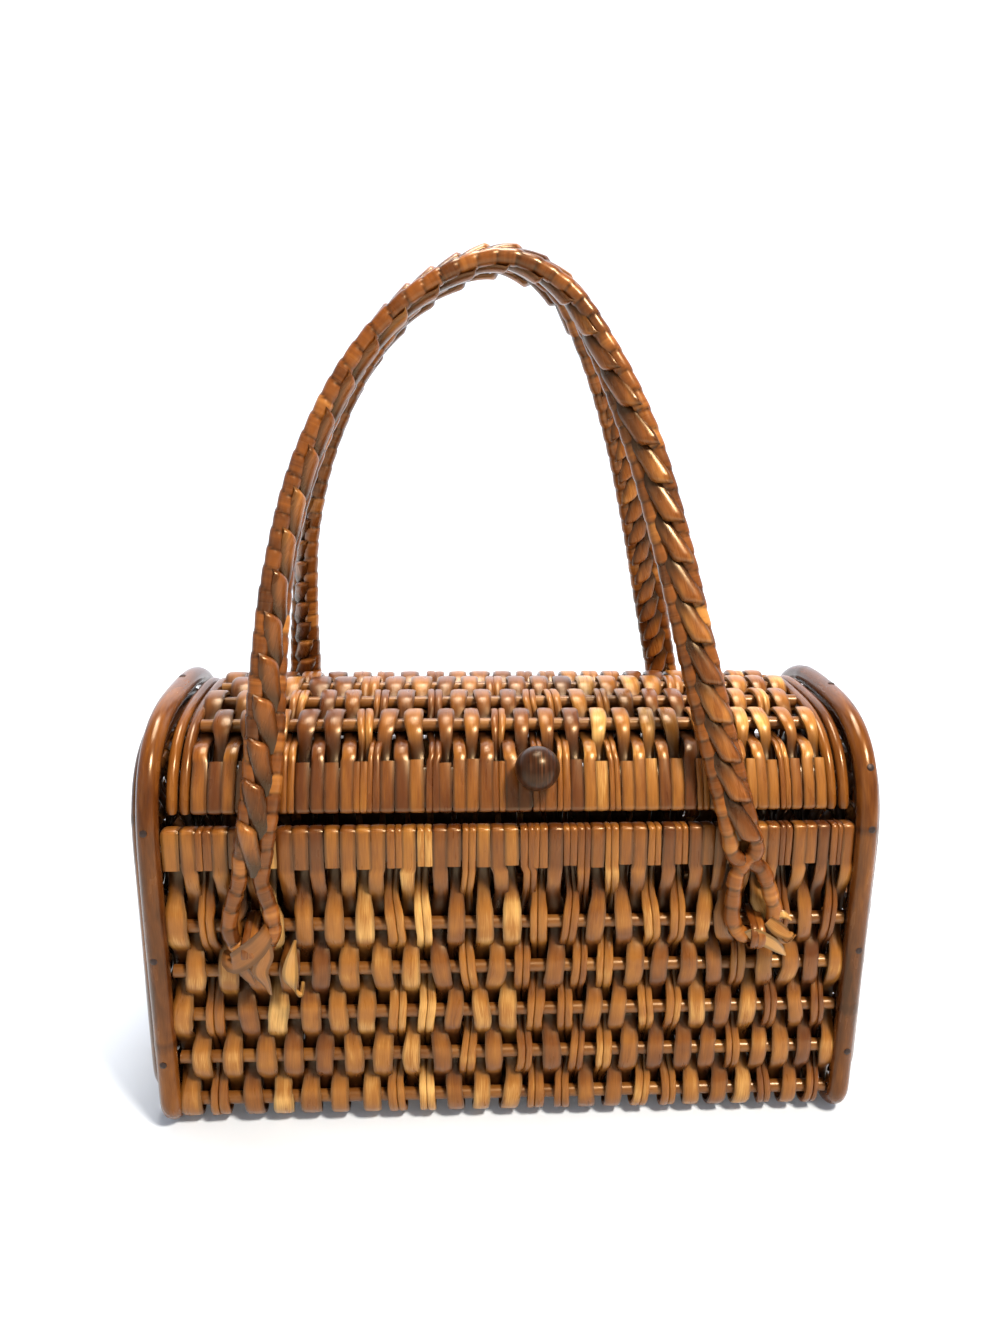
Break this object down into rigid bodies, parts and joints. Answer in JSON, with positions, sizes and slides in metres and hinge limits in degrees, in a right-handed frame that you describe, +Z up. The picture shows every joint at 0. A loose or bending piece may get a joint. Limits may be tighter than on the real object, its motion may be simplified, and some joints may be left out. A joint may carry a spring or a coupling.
{
  "type": "straw basket handbag",
  "caption": "Loaf-shaped woven cane handbag with a hinged domed lid, bent cane rims, a wooden knob and braided straw handles tied to its front and back.",
  "frame": {"origin": "middle of the woven base, on the surface that the bag stands on", "axes": "+Z up through the handles, +X along the width of the bag, -Y out of the front, where the knob is"},
  "size_m": [0.239, 0.1164, 0.2813],
  "materials": {
    "skein": "flat lacquered skeins, honey to red brown",
    "cane": "gloss lacquered round cane",
    "rod": "lacquered peeled rods",
    "braid": "folded and braided palm straw, satin",
    "knob": "turned dark wood, waxed"
  },
  "bodies": {
    "basket": {"binding_cane_left": "cane", "binding_cane_right": "cane", "end_hoop_left": "cane", "end_hoop_right": "cane", "end_panel_left": "skein", "end_panel_right": "skein", "body_weave": "skein", "rod_front_1": "rod", "rod_front_2": "rod", "rod_front_3": "rod", "rod_front_4": "rod", "rod_front_5": "rod", "rod_base_1": "rod", "rod_base_2": "rod", "rod_base_3": "rod", "rod_base_4": "rod", "rod_base_5": "rod", "rod_back_1": "rod", "rod_back_2": "rod", "rod_back_3": "rod", "rod_back_4": "rod", "rod_back_5": "rod", "front_rail": "skein", "back_rail": "skein", "hinge_loop_1": "cane", "hinge_loop_2": "cane", "hinge_loop_3": "cane", "handle_front": "braid", "handle_back": "braid", "handle_tie_front_left": "braid", "handle_tie_front_right": "braid", "handle_tie_back_left": "braid", "handle_tie_back_right": "braid"},
    "lid": {"lid_weave": "skein", "lid_rod_1": "rod", "lid_rod_2": "rod", "lid_rod_3": "rod", "lid_rod_4": "rod", "lid_rod_5": "rod", "lid_hinge_rod": "rod", "lid_front_rail": "skein", "lid_outer_cane_left": "cane", "lid_outer_cane_right": "cane", "lid_inner_cane_left": "cane", "lid_inner_cane_right": "cane", "knob": "knob"}
  },
  "joints": [
    {"name": "lid_hinge", "type": "hinge", "parent": "basket", "child": "lid", "pos_m": [0, 0.04493, 0.1095], "axis": [-1, 0, 0], "range_deg": [0, 95], "deforming": ["handle_front", "handle_back"]}
  ]
}
